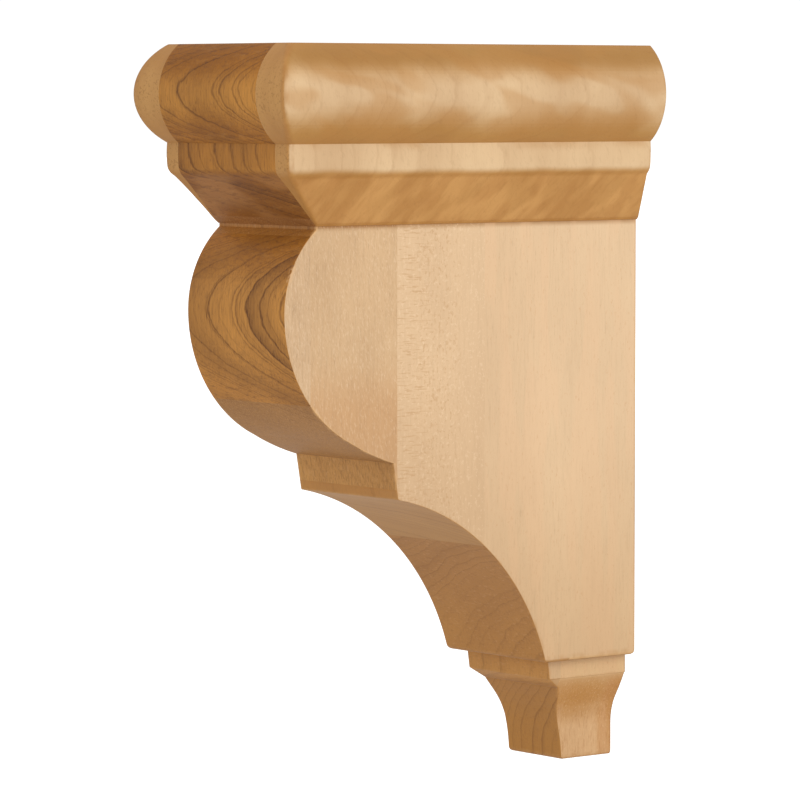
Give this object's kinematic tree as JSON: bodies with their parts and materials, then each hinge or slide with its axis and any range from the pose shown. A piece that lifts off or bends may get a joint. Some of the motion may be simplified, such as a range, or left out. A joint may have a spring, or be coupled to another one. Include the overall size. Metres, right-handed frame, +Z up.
{
  "type": "wooden corbel bracket",
  "caption": "Glued-up maple corbel with a bullnose and bevelled cap, a rounded belly, a long cove and a small tapered finial; fixes flat to a wall under a shelf or mantel.",
  "frame": {"origin": "middle of the flat back, where it meets the wall, at half the height of the corbel", "axes": "+Z up towards the flat top, +Y into the wall, so the front faces -Y, +X across the width"},
  "size_m": [0.0894, 0.172, 0.26],
  "materials": {
    "front_wood": "clear satin lacquer",
    "block_wood": "clear satin lacquer",
    "cap_side_wood": "clear satin lacquer"
  },
  "bodies": {
    "root": {"front_cap_board": "front_wood", "front_belly_board": "front_wood", "belly_board": "block_wood", "middle_board": "block_wood", "inner_board": "block_wood", "wall_board": "block_wood", "left_cap_board": "cap_side_wood", "right_cap_board": "cap_side_wood"}
  },
  "joints": []
}
